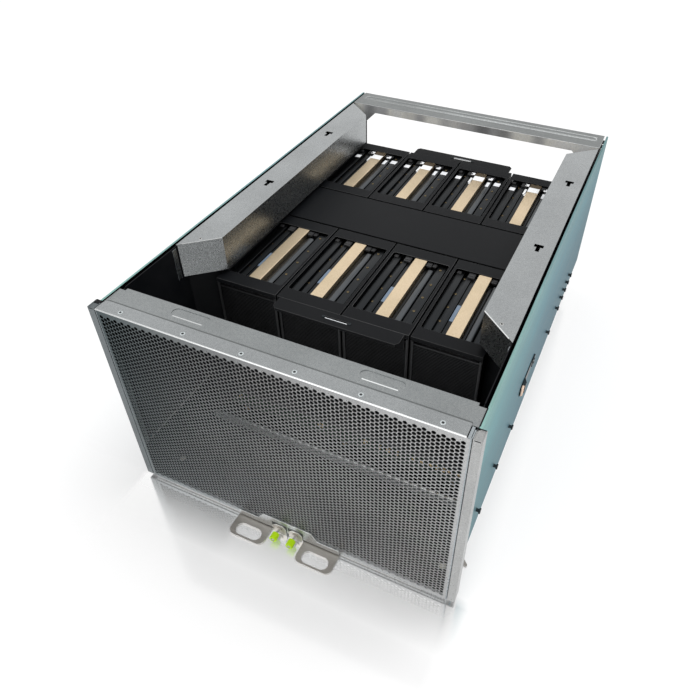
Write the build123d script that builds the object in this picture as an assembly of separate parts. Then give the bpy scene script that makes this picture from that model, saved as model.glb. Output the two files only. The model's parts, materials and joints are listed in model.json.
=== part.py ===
from build123d import *
import os
from math import cos, hypot, radians, sin

# GPU tray of a rack server: an open-topped sheet metal box with a perforated front,
# eight tall accelerator modules on a board, air ducts along both sides, and a pair of
# cam levers under the front edge, each held shut by a captive thumbscrew.
# Millimetres. X runs right, Y runs back and Z runs up. Sizes along Y are counted from
# the front face of the perforated panel; the last lines move the origin to the middle
# of the underside.

# Overall sizes
body_width = 447.0
body_height = 307.0
body_depth = 702.0
skin = 1.2
floor_sheet = 1.5
side_gap = 5.3
fit = 0.05
loose = 0.3

# Floor pan, with a raised pocket along the front for the levers
pan_side_height = 74.0
pocket_depth = 84.0
rear_lip = 12.0

# Outer side skins and inner liners
recess_height = 62.0
weld_lip = 11.0
skin_front = 15.0
hem_drop = 8.0
hem_gap = 0.4
liner_front = 16.5

# Ears, the folded stops at both front corners
ear_width = 9.5
ear_reach = 5.5
ear_return = 11.0
ear_cap_drop = 0.8

# Perforated front panel
panel_side_gap = 1.5
panel_lift = 7.0
panel_strip = 18.0
panel_strip_inset = 4.5
panel_return = 12.0
field_side = 3.0
field_low = 6.0
field_top = 5.5
hole_pitch = 30.0
hole_bridge = 4.4

# Front cross bar under the strip of the panel
bar_depth = 46.0
bar_wing_depth = 42.0
bar_wing_width = 8.5
bar_skin_gap = 2.3
bar_flange = 15.0
bar_end_drop = 16.0
bar_end_tab = 28.0
bead_length = 49.0
bead_width = 13.0
bead_sink = 0.6
bead_x = 115.0
bead_setback = 11.0
panel_screw_x = (31.4, 104.7, 188.4)
panel_screw_y = 7.4
screw_head_radius = 3.0
screw_radius = 1.5
screw_length = 5.0

# Rear cross bar
rear_bar_depth = 50.0
rear_bar_flange = 13.0
rear_bead_width = 15.0
rear_bead_margin = 10.0
rear_bead_y = 30.5
gusset_drop = 37.0
gusset_foot = 16.0
gusset_slope = 24.0

# Air ducts and baffles
duct_width = 43.0
duct_height = 49.4
duct_front = 141.0
duct_rear = 648.0
duct_mitre = 39.0
duct_lip = 8.0
keyhole_y = (328.0, 513.0)
keyhole_inset = 19.0
keyhole_head = 12.0
keyhole_head_depth = 6.5
keyhole_stem = 5.0
keyhole_length = 16.5
duct_screw_setback = 25.0
duct_screw_radius = 2.5
duct_screw_sink = 0.7
baffle_gap = 1.2
baffle_mitre_gap = 9.0
baffle_wing = 33.0

# Rail studs on the side skins
stud_y = (67.0, 137.0, 207.0, 416.0, 481.0, 512.0, 535.0, 558.0, 581.0)
stud_z = 107.0
stud_reach = 5.5
stud_neck_radius = 2.2
stud_head_radius = 3.6
stud_head = 2.0

# Stop latches, a sprung blade in a window of each side skin
latch_z = 137.0
latch_height = 14.0
latch_root = 305.0
latch_length = 62.0
latch_blade = 0.9
latch_pad_length = 8.0
latch_catch_length = 15.0
latch_catch_rise = 3.6
latch_pad_rise = 2.6
latch_pad_chamfer = 1.2
latch_rivet_radius = 1.6
latch_clamp_length = 13.0
latch_window_gap = 2.0

# Cam levers under the front edge
lever_lift = 0.6
lever_sheet = 2.0
lever_pivot_x = 200.0
lever_pivot_y = 40.0
lever_reach = 31.0
lever_loop_inner = 23.4
lever_loop_outer = 75.4
lever_loop_radius = 9.0
lever_slot_length = 36.4
lever_slot_width = 16.5
lever_slot_rim = 3.3
lever_front = 3.0
lever_beam = 24.0
lever_arm_radius = 15.0
hook_front = 52.6
hook_width = 3.7
hook_reach = 227.4
hook_back = 64.5
hook_root = 214.0
hook_heel = 4.5
lever_flare = 45.0
pivot_radius = 4.0
pivot_head_radius = 6.5
pivot_head = 0.9
pivot_shank_radius = 3.0
pivot_cap = 1.0

# Bracket, thumbscrews and the tabs of the levers that carry them
bracket_sheet = 1.5
bracket_half_width = 74.0
bracket_lift = 2.0
bracket_rim = 14.0
bracket_centre_half = 36.0
bracket_centre_top = 27.0
bracket_slope = 8.0
tab_x = 12.0
tab_width = 20.0
tab_top = 17.0
tab_chamfer = 5.0
tab_front = 2.5
tab_sheet = 2.0
tab_notch_gap = 1.0
thumb_radius = 1.5
thumb_tip = 0.6
knob_radius = 5.0
knob_length = 9.5
knob_flutes = 16
knob_flute_depth = 0.4
thumb_travel = 5.1
retainer_radius = 2.9
retainer_thickness = 1.0
ferrule_radius = 2.9
ferrule_flange_radius = 4.2
ferrule_flange = 1.2
nut_radius = 3.0
nut_flange_radius = 4.2
nut_length = 4.0

# Board under the modules
board_z = 27.0
board_sheet = 3.0
board_half_width = 184.0
board_front = 150.0
board_rear = 690.0
standoff_corner = 4.0
standoff_margin = 14.0
standoff_columns = 3
standoff_rows = 4
connector_width = 50.0
connector_depth = 34.0
connector_height = 24.0
connector_count = 6
connector_pitch = 60.0
connector_key = 6.0

# Accelerator modules
module_pitch = 92.6
module_width = 90.0
module_length = 177.0
module_top = 250.0
module_columns = 4
module_rows = (166.0, 443.5)
module_sheet = 1.0
module_skirt = 6.3
window_width = 82.0
window_length = 135.0
window_radius = 3.0
sink_gap = 0.8
sink_base = 8.0
fin_pitch = 20.0
fin_thickness = 2.0
sink_web = 8.0
rail_drop = 4.0
rails = ((-34.0, 10.8), (-16.6, 13.6), (19.0, 10.0), (32.4, 11.6))
rail_height = 11.0
gold_width = 18.0
gold_drop = 0.8
gold_edge = 0.6

# Cover and heat sinks of the switches between the two rows of modules
cover_gap = 3.0
switch_count = 4
switch_width = 70.0
switch_length = 76.0
switch_pitch = 88.0
switch_base = 8.0
switch_fins = 7
switch_fin_height = 50.0
switch_fin_thickness = 3.0

# Tab plates on the two middle modules of each row
tab_plate_half = 86.0
tab_plate_reach = 22.0
tab_plate_leg = 25.0
tab_plate_chamfer = 5.0
tab_plate_lip = 4.0
tab_slot_length = 32.0
tab_slot_width = 3.0
tab_screw_x = 18.0
tab_screw_radius = 2.0
tab_screw_head = 0.8

# Levels and faces that the pieces share
skin_outer = body_width / 2
skin_inner = skin_outer - skin
liner_outer = skin_inner - side_gap
liner_inner = liner_outer - skin
pan_inner = liner_inner - floor_sheet
roof = body_height - skin
bar_top = roof
bar_under = bar_top - skin
pocket_roof = lever_lift + lever_sheet + loose
pocket_floor = pocket_roof + floor_sheet
thumb_z = pocket_floor + nut_flange_radius + loose
floor_lip = thumb_z + nut_flange_radius + skin
ear_outer = skin_outer + ear_reach
ear_inner = ear_outer - ear_width
panel_half = ear_inner - panel_side_gap
strip_half = panel_half - panel_strip_inset
bar_half = skin_inner - bar_skin_gap
duct_inner = liner_outer - duct_width
duct_low = body_height - duct_height
rear_bar_front = body_depth - rear_bar_depth
board_top = board_z + board_sheet
block_half = (module_columns - 1) * module_pitch / 2 + module_width / 2
baffle_face = block_half + baffle_gap
cover_front = module_rows[0] + module_length + cover_gap
cover_rear = module_rows[1] - cover_gap
tab_rest = -tab_front


def face_of(points):
    """Flat face inside a closed outline of two-number points."""
    return make_face(Polyline(*points, close=True))


def plate_xy(points, low, thickness):
    """Outline in X and Y, thickened upwards from the level low."""
    return extrude(Pos(0, 0, low) * face_of(points), amount=thickness, dir=(0, 0, 1))


def plate_xz(points, front, thickness):
    """Outline in X and Z, thickened backwards from the distance front."""
    plane = Plane(origin=(0, front, 0), x_dir=(1, 0, 0), z_dir=(0, -1, 0))
    return extrude(plane * face_of(points), amount=thickness, dir=(0, 1, 0))


def plate_yz(points, left, thickness):
    """Outline in Y and Z, thickened to the right from the place left."""
    plane = Plane(origin=(left, 0, 0), x_dir=(0, 1, 0), z_dir=(1, 0, 0))
    return extrude(plane * face_of(points), amount=thickness, dir=(1, 0, 0))


def block(x_range, y_range, z_range):
    """Box between two places along each axis."""
    sizes = [high - low for low, high in (x_range, y_range, z_range)]
    middle = [(high + low) / 2 for low, high in (x_range, y_range, z_range)]
    return Pos(*middle) * Box(*sizes)


def rod_y(x, z, radius, y_range):
    """Round bar along Y."""
    length = y_range[1] - y_range[0]
    middle = (y_range[0] + y_range[1]) / 2
    return Pos(x, middle, z) * Rot(90, 0, 0) * Cylinder(radius, length)


def rod_z(x, y, radius, z_range):
    """Round bar along Z."""
    length = z_range[1] - z_range[0]
    return Pos(x, y, (z_range[0] + z_range[1]) / 2) * Cylinder(radius, length)


def folded(points, sheet):
    """Section of a folded sheet: points follow one face, and the metal lies to their left."""
    directions = []
    for start, end in zip(points, points[1:]):
        length = hypot(end[0] - start[0], end[1] - start[1])
        directions.append(((end[0] - start[0]) / length, (end[1] - start[1]) / length))
    normals = [(-dy, dx) for dx, dy in directions]
    other_face = []
    for index, (x, y) in enumerate(points):
        before = normals[max(index - 1, 0)]
        after = normals[min(index, len(normals) - 1)]
        share = sheet / (1 + before[0] * after[0] + before[1] * after[1])
        other_face.append((x + share * (before[0] + after[0]), y + share * (before[1] + after[1])))
    return list(points) + other_face[::-1]


def mirrored(piece):
    """The same piece on the other side of the middle plane."""
    return mirror(piece, about=Plane.YZ)


def make_floor_pan():
    section = folded(
        [
            (skin, floor_lip),
            (skin, pocket_roof),
            (pocket_depth, pocket_roof),
            (pocket_depth, 0),
            (body_depth, 0),
            (body_depth, rear_lip),
        ],
        floor_sheet,
    )
    pan = plate_yz(section, -liner_inner, 2 * liner_inner)
    side = [
        (skin, pocket_roof),
        (pocket_depth, pocket_roof),
        (pocket_depth, 0),
        (body_depth, 0),
        (body_depth, pan_side_height),
        (skin, pan_side_height),
    ]
    pan += plate_yz(side, pan_inner, floor_sheet)
    pan += plate_yz(side, -liner_inner, floor_sheet)
    for x in (-lever_pivot_x, lever_pivot_x):
        pan -= rod_z(x, lever_pivot_y, pivot_shank_radius + fit, (0, 2 * pan_side_height))
    for x in (-tab_x, tab_x):
        pan -= rod_y(x, thumb_z, nut_radius + fit, (0, 2 * floor_sheet + skin))
    return pan


def make_side_skin():
    hem_face = skin_outer - 2 * skin - hem_gap
    section = folded(
        [
            (liner_outer, recess_height + weld_lip),
            (liner_outer, recess_height),
            (skin_outer, recess_height),
            (skin_outer, body_height),
            (hem_face, body_height),
            (hem_face, body_height - hem_drop),
        ],
        skin,
    )
    sheet = plate_xz(section, skin_front, body_depth - skin_front)
    window_front = latch_root - latch_length - latch_window_gap
    half_height = latch_height / 2 + latch_window_gap
    sheet -= block(
        (skin_inner - loose, skin_outer + loose),
        (window_front, latch_root - loose),
        (latch_z - half_height, latch_z + half_height),
    )
    return sheet


def make_side_liner():
    low = recess_height - floor_sheet
    outline = [
        (liner_front, low),
        (body_depth, low),
        (body_depth, roof),
        (bar_depth + floor_sheet, roof),
        (bar_depth + floor_sheet, bar_under),
        (liner_front, bar_under),
    ]
    return plate_yz(outline, liner_inner, skin)


def make_ear():
    section = folded(
        [
            (ear_inner, ear_return),
            (ear_inner, 0),
            (ear_outer, 0),
            (ear_outer, skin_front),
            (skin_inner, skin_front),
        ],
        skin,
    )
    ear = plate_xy(section, panel_lift, body_height - panel_lift)
    cap_top = body_height - ear_cap_drop
    cap = block(
        (ear_inner + skin, ear_outer - skin),
        (skin, skin_front - skin),
        (cap_top - skin, cap_top),
    )
    return ear + cap


def hole_centres():
    """Centres of the staggered hexagonal holes that fit whole inside the perforated field."""
    column_pitch = hole_pitch * cos(radians(30))
    corner = (hole_pitch - hole_bridge) / 2 / cos(radians(30))
    field_half = panel_half - field_side
    low = panel_lift + field_low
    high = body_height - field_top
    columns = int((field_half - corner) / column_pitch)
    middle = (low + high) / 2
    rows = int((high - low) / hole_pitch)
    for column in range(-columns, columns + 1):
        shift = hole_pitch / 2 if column % 2 else 0
        for row in range(-rows, rows + 1):
            z = middle + row * hole_pitch + shift
            if z - hole_pitch / 2 >= low and z + hole_pitch / 2 <= high:
                yield column * column_pitch, z


def screw_places():
    """Places across the strip of the panel's screws."""
    return [sign * x for x in panel_screw_x for sign in (-1, 1)]


def countersink(x, room):
    """Cone of a countersunk head through the strip, wider all round by room."""
    cone = Cone(screw_radius + room, screw_head_radius + room, skin)
    return Pos(x, panel_screw_y, roof + skin / 2) * cone


def make_front_panel():
    corner = (hole_pitch - hole_bridge) / 2 / cos(radians(30))
    height = body_height - panel_lift
    frame = Pos(0, panel_lift + height / 2) * Rectangle(2 * panel_half, height)
    hexagon = RegularPolygon(corner, 6)
    holes = [(Pos(x, z) * hexagon).face().outer_wire() for x, z in hole_centres()]
    perforated = Face(frame.face().outer_wire(), holes)
    plane = Plane(origin=(0, 0, 0), x_dir=(1, 0, 0), z_dir=(0, -1, 0))
    panel = extrude(plane * perforated, amount=skin, dir=(0, 1, 0))
    panel += block((-strip_half, strip_half), (0, panel_strip), (roof, body_height))
    for side in (-1, 1):
        edges = sorted((side * panel_half, side * (panel_half - skin)))
        panel += block(edges, (0, panel_return), (panel_lift, roof - field_top))
    for x in screw_places():
        panel -= countersink(x, fit)
    notch_half = ferrule_radius + tab_notch_gap
    for x in (-tab_x, tab_x):
        panel -= block(
            (x - notch_half, x + notch_half),
            (-skin, 2 * skin),
            (0, thumb_z + notch_half),
        )
    return panel


def make_front_cross_bar():
    wing_half = bar_half
    neck = strip_half - fit
    inner = bar_half - bar_wing_width
    outline = [
        (-neck, skin + fit),
        (neck, skin + fit),
        (neck, liner_front),
        (wing_half, liner_front),
        (wing_half, bar_wing_depth),
        (inner, bar_wing_depth),
        (inner, bar_depth),
        (-inner, bar_depth),
        (-inner, bar_wing_depth),
        (-wing_half, bar_wing_depth),
        (-wing_half, liner_front),
        (-neck, liner_front),
    ]
    bar = plate_xy(outline, bar_under, skin)
    bar += block((-inner, inner), (bar_depth - skin, bar_depth), (bar_top - bar_flange, bar_top))
    step = bar_top - bar_end_drop
    end = folded(
        [
            (skin_inner, step - bar_end_tab),
            (skin_inner, step),
            (wing_half, step),
            (wing_half, bar_top),
        ],
        skin,
    )
    end_piece = plate_xz(end, liner_front, bar_wing_depth - liner_front)
    bar += end_piece + mirrored(end_piece)
    for x in (-bead_x, bead_x):
        bead = SlotOverall(bead_length, bead_width)
        place = Pos(x, bar_depth - bead_setback, bar_top - bead_sink)
        bar -= extrude(place * bead, amount=2 * bead_sink, dir=(0, 0, 1))
    for x in screw_places():
        bar -= rod_z(x, panel_screw_y, screw_radius + fit, (bar_under - skin, bar_top + skin))
    return bar


def make_panel_screws():
    screws = []
    for x in screw_places():
        screws.append(countersink(x, 0) + rod_z(x, panel_screw_y, screw_radius, (roof - screw_length, roof)))
    return screws


def make_rear_cross_bar():
    front = rear_bar_front
    bar = block((-panel_half, panel_half), (front, body_depth), (roof, body_height))
    flange_low = body_height - rear_bar_flange
    foot_low = body_height - gusset_drop
    foot = liner_inner - gusset_foot
    crown = foot - gusset_slope
    front_flange = [
        (-liner_inner, roof),
        (-liner_inner, foot_low),
        (-foot, foot_low),
        (-crown, flange_low),
        (crown, flange_low),
        (foot, foot_low),
        (liner_inner, foot_low),
        (liner_inner, roof),
    ]
    bar += plate_xz(front_flange, front, skin)
    rear_edge = (body_depth - skin, body_depth)
    bar += block((-liner_inner, liner_inner), rear_edge, (flange_low, roof))
    for side in (-1, 1):
        edges = sorted((side * liner_inner, side * (liner_inner - skin)))
        bar += block(edges, (front, body_depth), (foot_low, roof))
    bead = SlotOverall(2 * (panel_half - rear_bead_margin), rear_bead_width)
    place = Pos(0, front + rear_bead_y, body_height - bead_sink)
    bar -= extrude(place * bead, amount=2 * bead_sink, dir=(0, 0, 1))
    return bar


def duct_outline(outer, wall):
    """Plan of a duct out to the face outer, stepped in by wall on its three closed sides."""
    slope = duct_mitre / duct_width
    along = wall * hypot(1, slope)
    x_in = duct_inner + wall
    front_in = duct_front + slope * (liner_outer - x_in) + along
    front_out = duct_front + slope * (liner_outer - outer) + along
    rear_shift = duct_rear + duct_front
    return [(outer, front_out), (outer, rear_shift - front_out), (x_in, rear_shift - front_in), (x_in, front_in)]


def make_air_duct():
    tall = roof - duct_low
    duct = plate_xy(duct_outline(liner_outer, 0), roof, skin)
    duct += plate_xy(duct_outline(liner_inner, 0), duct_low, tall)
    duct -= plate_xy(duct_outline(liner_outer, skin), duct_low - skin, tall + skin)
    lip_end = duct_front + duct_mitre + duct_lip
    rear_end = duct_rear - duct_mitre - duct_lip
    duct += block(
        (duct_inner, duct_inner + duct_lip),
        (lip_end, rear_end),
        (duct_low, duct_low + skin),
    )
    x = liner_outer - keyhole_inset
    through = (roof - skin, body_height + skin)
    for y in keyhole_y:
        rear = y + keyhole_length / 2
        half_head = keyhole_head / 2
        half_stem = keyhole_stem / 2
        duct -= block((x - half_head, x + half_head), (rear - keyhole_head_depth, rear), through)
        duct -= block((x - half_stem, x + half_stem), (y - keyhole_length / 2, rear), through)
    screw_y = duct_front + duct_screw_setback
    sink = (body_height - duct_screw_sink, body_height + skin)
    duct -= rod_z(x, screw_y, duct_screw_radius + fit, sink)
    duct -= rod_z(x, screw_y, screw_radius + fit, through)
    return duct


def make_duct_screws():
    screws = []
    screw_y = duct_front + duct_screw_setback
    shoulder = body_height - duct_screw_sink
    for x in (keyhole_inset - liner_outer, liner_outer - keyhole_inset):
        head = rod_z(x, screw_y, duct_screw_radius, (shoulder, body_height))
        screws.append(head + rod_z(x, screw_y, screw_radius, (shoulder - screw_length, shoulder)))
    return screws


def make_air_baffle():
    front = duct_front + baffle_mitre_gap
    rear = duct_rear - baffle_mitre_gap
    section = folded(
        [
            (liner_inner, rear),
            (baffle_face, rear - baffle_wing),
            (baffle_face, front + baffle_wing),
            (liner_inner, front),
        ],
        skin,
    )
    sheet = plate_xy(section, floor_sheet, roof - floor_sheet)
    beyond = block(
        (liner_inner, liner_outer + side_gap),
        (0, body_depth),
        (0, body_height),
    )
    pan_side = block(
        (pan_inner, liner_outer),
        (0, body_depth),
        (0, pan_side_height),
    )
    return sheet - beyond - pan_side


def make_rail_studs():
    studs = []
    for side in (-1, 1):
        for y in stud_y:
            neck = Cylinder(stud_neck_radius, stud_reach)
            head = Pos(0, 0, (stud_reach - stud_head) / 2) * Cylinder(stud_head_radius, stud_head)
            x = side * (skin_outer + stud_reach / 2)
            studs.append(Pos(x, y, stud_z) * Rot(0, 90 * side, 0) * (neck + head))
    return studs


def make_stop_latch():
    face = skin_outer + loose
    back = latch_root - loose
    front = latch_root - latch_length
    catch_front = front + latch_pad_length
    catch_top = catch_front + latch_catch_length / 2
    catch_rear = catch_front + latch_catch_length
    rise = face + latch_blade + latch_catch_rise
    outline = [
        (face, front),
        (face + latch_blade, front),
        (face + latch_blade, catch_front),
        (rise, catch_front),
        (rise, catch_top),
        (face + latch_blade, catch_rear),
        (face + latch_blade, back),
        (face, back),
    ]
    return plate_xy(outline, latch_z - latch_height / 2, latch_height)


def make_latch_pad():
    face = skin_outer + loose + latch_blade
    front = latch_root - latch_length
    pad = block(
        (face, face + latch_pad_rise),
        (front, front + latch_pad_length - fit),
        (latch_z - latch_height / 2, latch_z + latch_height / 2),
    )
    front_edges = pad.edges().filter_by(Axis.Z).sort_by(Axis.Y)[:2]
    return chamfer(front_edges.sort_by(Axis.X)[-1:], latch_pad_chamfer)


def make_latch_clamps():
    clamps = []
    clamp_face = skin_outer + loose + 2 * latch_blade
    rivet = Rot(0, 90, 0) * Cylinder(latch_rivet_radius, latch_blade)
    for side in (-1, 1):
        clamp = block(
            sorted((side * skin_outer, side * clamp_face)),
            (latch_root, latch_root + latch_clamp_length),
            (latch_z - latch_height / 2, latch_z + latch_height / 2),
        )
        x = side * (clamp_face + latch_blade / 2)
        for z in (latch_z - latch_height / 4, latch_z + latch_height / 4):
            clamp += Pos(x, latch_root + latch_clamp_length / 2, z) * rivet
        clamps.append(clamp)
    return clamps


def make_cam_lever():
    beam_rear = lever_front + lever_beam
    arm = lever_arm_radius
    outline = [
        (tab_x - tab_width / 2, tab_rest),
        (lever_loop_inner, tab_rest),
        (lever_loop_inner, -lever_reach),
        (lever_loop_outer, -lever_reach),
        (lever_loop_outer, lever_front),
        (lever_pivot_x - arm, lever_front),
        (hook_root, lever_pivot_y - arm),
        (hook_root, hook_front),
        (hook_reach, hook_front),
        (hook_reach, hook_front + hook_width),
        (hook_root + hook_heel, hook_back),
        (lever_pivot_x + hook_heel, hook_back + hook_heel),
        (lever_pivot_x - arm, lever_pivot_y + arm),
        (lever_pivot_x - lever_flare, beam_rear),
        (tab_x - tab_width / 2, beam_rear),
    ]
    plate = plate_xy(outline, lever_lift, lever_sheet)
    corners = plate.edges().filter_by(Axis.Z).group_by(Axis.Y)[0]
    plate = fillet(corners, lever_loop_radius)
    slot = SlotOverall(lever_slot_length, lever_slot_width)
    slot_x = (lever_loop_inner + lever_loop_outer) / 2
    slot_y = lever_slot_rim + lever_slot_width / 2 - lever_reach
    cut = extrude(Pos(slot_x, slot_y, 0) * slot, amount=2 * pocket_roof, dir=(0, 0, 1))
    plate -= cut
    plate -= rod_z(lever_pivot_x, lever_pivot_y, pivot_radius + fit, (0, pocket_roof))
    sink_top = lever_lift + pivot_head + 2 * fit
    plate -= rod_z(lever_pivot_x, lever_pivot_y, pivot_head_radius + 2 * fit, (0, sink_top))
    left = tab_x - tab_width / 2
    right = tab_x + tab_width / 2
    tab_outline = [
        (left, lever_lift),
        (right, lever_lift),
        (right, tab_top - tab_chamfer),
        (right - tab_chamfer, tab_top),
        (left + tab_chamfer, tab_top),
        (left, tab_top - tab_chamfer),
    ]
    plate += plate_xz(tab_outline, tab_rest, tab_sheet)
    plate -= rod_y(tab_x, thumb_z, ferrule_radius, (tab_rest - tab_sheet, tab_rest + 2 * tab_sheet))
    return plate


def make_lever_pivots():
    rivets = []
    for x in (-lever_pivot_x, lever_pivot_x):
        y = lever_pivot_y
        cap_top = pocket_floor + pivot_cap
        rivet = rod_z(x, y, pivot_head_radius, (lever_lift, lever_lift + pivot_head))
        rivet += rod_z(x, y, pivot_radius, (lever_lift, pocket_roof))
        rivet += rod_z(x, y, pivot_shank_radius, (lever_lift, cap_top))
        rivet += rod_z(x, y, pivot_radius, (pocket_floor, cap_top))
        rivets.append(rivet)
    return rivets


def make_lever_bracket():
    low = lever_lift + lever_sheet + bracket_lift
    centre = bracket_centre_half
    outline = [
        (-bracket_half_width, low),
        (bracket_half_width, low),
        (bracket_half_width, bracket_rim),
        (centre + bracket_slope, bracket_rim),
        (centre, bracket_centre_top),
        (-centre, bracket_centre_top),
        (-centre - bracket_slope, bracket_rim),
        (-bracket_half_width, bracket_rim),
    ]
    bracket = plate_xz(outline, -bracket_sheet, bracket_sheet)
    notch_inner = tab_x - tab_width / 2 - tab_notch_gap
    notch_outer = tab_x + tab_width / 2 + tab_notch_gap
    for side in (-1, 1):
        bracket -= block(
            sorted((side * notch_inner, side * notch_outer)),
            (-2 * bracket_sheet, bracket_sheet),
            (0, tab_top + 2 * tab_notch_gap),
        )
    return bracket


def make_ferrule():
    body = rod_y(tab_x, thumb_z, ferrule_radius, (tab_rest, tab_rest + tab_sheet))
    body += rod_y(tab_x, thumb_z, ferrule_flange_radius, (tab_rest - ferrule_flange, tab_rest))
    return body - rod_y(tab_x, thumb_z, thumb_radius + fit, (-knob_length, knob_length))


def knob_back():
    """Rear face of the knob with the screw drawn right out."""
    return tab_rest - ferrule_flange - loose - thumb_travel - retainer_thickness - fit


def make_retainer():
    rear = knob_back() + fit + retainer_thickness
    ring = rod_y(tab_x, thumb_z, retainer_radius, (rear - retainer_thickness, rear))
    return ring - rod_y(tab_x, thumb_z, thumb_radius + fit, (-2 * knob_length, knob_length))


def make_thumbscrew():
    front = knob_back() - knob_length
    shaft = rod_y(tab_x, thumb_z, thumb_radius, (front, -thumb_tip))
    return chamfer(shaft.edges().sort_by(Axis.Y)[-1:], thumb_radius / 3)


def make_knob():
    """Thimble with straight flutes, fixed on the shaft."""
    back = knob_back()
    outline = []
    for index in range(2 * knob_flutes):
        reach = knob_radius - knob_flute_depth * (index % 2)
        turn = radians(180 * index / knob_flutes)
        outline.append((tab_x + reach * cos(turn), thumb_z + reach * sin(turn)))
    knob = plate_xz(outline, back - knob_length, knob_length)
    return knob - rod_y(tab_x, thumb_z, thumb_radius, (back - 2 * knob_length, back + fit))


def make_lever_nuts():
    nuts = []
    for x in (-tab_x, tab_x):
        nut = rod_y(x, thumb_z, nut_radius, (skin, skin + nut_length))
        rear = skin + floor_sheet
        nut += rod_y(x, thumb_z, nut_flange_radius, (rear, skin + nut_length))
        nuts.append(nut - rod_y(x, thumb_z, thumb_radius + fit, (-skin, 3 * nut_length)))
    return nuts


def make_baseboard():
    return block(
        (-board_half_width, board_half_width),
        (board_front, board_rear),
        (board_z, board_top),
    )


def spread(low, high, count):
    """Evenly spaced places from low to high."""
    return [low + (high - low) * index / (count - 1) for index in range(count)]


def make_standoffs():
    half = board_half_width - standoff_margin
    rows = spread(board_front + standoff_margin, board_rear - standoff_margin, standoff_rows)
    posts = []
    for x in spread(-half, half, standoff_columns):
        for y in rows:
            hexagon = Pos(x, y, floor_sheet) * RegularPolygon(standoff_corner, 6)
            posts.append(extrude(hexagon, amount=board_z - floor_sheet, dir=(0, 0, 1)))
    return posts


def make_connectors():
    housings = []
    half_row = (connector_count - 1) * connector_pitch / 2
    for x in spread(-half_row, half_row, connector_count):
        half = connector_width / 2
        top = board_top + connector_height
        housing = block((x - half, x + half), (board_rear - connector_depth, board_rear), (board_top, top))
        housing -= block(
            (x - half, x + half),
            (board_rear - connector_key, board_rear),
            (top - connector_key, top),
        )
        housings.append(housing)
    return housings


def module_centres():
    """Middle of the front edge of each module, row by row."""
    half_row = (module_columns - 1) * module_pitch / 2
    for front in module_rows:
        for x in spread(-half_row, half_row, module_columns):
            yield x, front


def make_shroud():
    """Folded cover of one module, with its front edge at Y = 0."""
    half = module_width / 2
    section = folded(
        [
            (half, board_top),
            (half, module_top),
            (-half, module_top),
            (-half, board_top),
        ],
        module_sheet,
    )
    shroud = plate_xz(section, 0, module_length)
    skirt = (module_top - module_skirt, module_top)
    shroud += block((-half, half), (0, module_sheet), skirt)
    shroud += block((-half, half), (module_length - module_sheet, module_length), skirt)
    window = RectangleRounded(window_width, window_length, window_radius)
    place = Pos(0, module_length / 2, module_top - 2 * module_sheet)
    return shroud - extrude(place * window, amount=3 * module_sheet, dir=(0, 0, 1))


def fin_levels():
    """Top of each flat fin, from the lowest to the highest."""
    highest = module_top - module_sheet - rail_height
    lowest = board_top + sink_base + fin_pitch
    count = int((highest - lowest) / fin_pitch) + 1
    return [highest - fin_pitch * index for index in reversed(range(count))]


def make_heatsink():
    """Base, upright web, stacked flat fins and top rails of one module."""
    half = module_width / 2 - module_sheet - sink_gap
    base_top = board_top + sink_base
    right = [(half, board_top), (half, base_top)]
    level = base_top
    for top in fin_levels():
        right += [(sink_web, level), (sink_web, top - fin_thickness)]
        right += [(half, top - fin_thickness), (half, top)]
        level = top
    left = [(-x, z) for x, z in reversed(right)]
    inset = module_sheet + sink_gap
    sink = plate_xz(right + left, inset, module_length - 2 * inset)
    window_edge = (module_length - window_length) / 2
    along = (window_edge - module_skirt, module_length - window_edge + module_skirt)
    for middle, width in rails:
        across = (middle - width / 2, middle + width / 2)
        sink += block(across, along, (level, module_top - rail_drop))
    return sink


def make_gold_bars():
    bars = []
    for x, front in module_centres():
        inset = (module_length - window_length) / 2
        high = module_top - gold_drop
        bar = block(
            (x - gold_width / 2, x + gold_width / 2),
            (front + inset, front + inset + window_length),
            (fin_levels()[-1], high),
        )
        bars.append(chamfer(bar.edges().group_by(Axis.Z)[-1], gold_edge))
    return bars


def make_centre_cover():
    section = folded(
        [
            (block_half, board_top),
            (block_half, module_top),
            (-block_half, module_top),
            (-block_half, board_top),
        ],
        module_sheet,
    )
    return plate_xz(section, cover_front, cover_rear - cover_front)


def make_switch_heatsinks():
    sinks = []
    half_row = (switch_count - 1) * switch_pitch / 2
    front = (cover_front + cover_rear - switch_length) / 2
    for x in spread(-half_row, half_row, switch_count):
        half = switch_width / 2
        base_top = board_top + switch_base
        sink = block((x - half, x + half), (front, front + switch_length), (board_top, base_top))
        for fin in spread(x - half, x + half - switch_fin_thickness, switch_fins):
            fin_z = (base_top, base_top + switch_fin_height)
            sink += block((fin, fin + switch_fin_thickness), (front, front + switch_length), fin_z)
        sinks.append(sink)
    return sinks


def make_tab_plate():
    """Plate on the front of the front row; its flap points forwards."""
    face = module_rows[0]
    front = face - tab_plate_reach
    section = folded(
        [
            (face, module_top - tab_plate_leg),
            (face, module_top),
            (front, module_top),
            (front, module_top - tab_plate_lip),
        ],
        module_sheet,
    )
    plate = plate_yz(section, -tab_plate_half, 2 * tab_plate_half)
    for side in (-1, 1):
        corner = [
            (side * (tab_plate_half + 1), front - 1),
            (side * (tab_plate_half - tab_plate_chamfer), front - 1),
            (side * (tab_plate_half + 1), front + tab_plate_chamfer + 1),
        ]
        plate -= plate_xy(corner, module_top - tab_plate_leg, 2 * tab_plate_leg)
    slot = SlotOverall(tab_slot_length, tab_slot_width)
    place = Pos(0, face - tab_plate_reach / 2, module_top - 2 * module_sheet)
    plate -= extrude(place * slot, amount=4 * module_sheet, dir=(0, 0, 1))
    return plate


def turned_to_rear(piece):
    """A front tab piece carried over to the back of the rear row."""
    across = module_rows[0] + module_rows[1] + module_length
    return Pos(0, across, 0) * mirror(piece, about=Plane.XZ)


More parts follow.
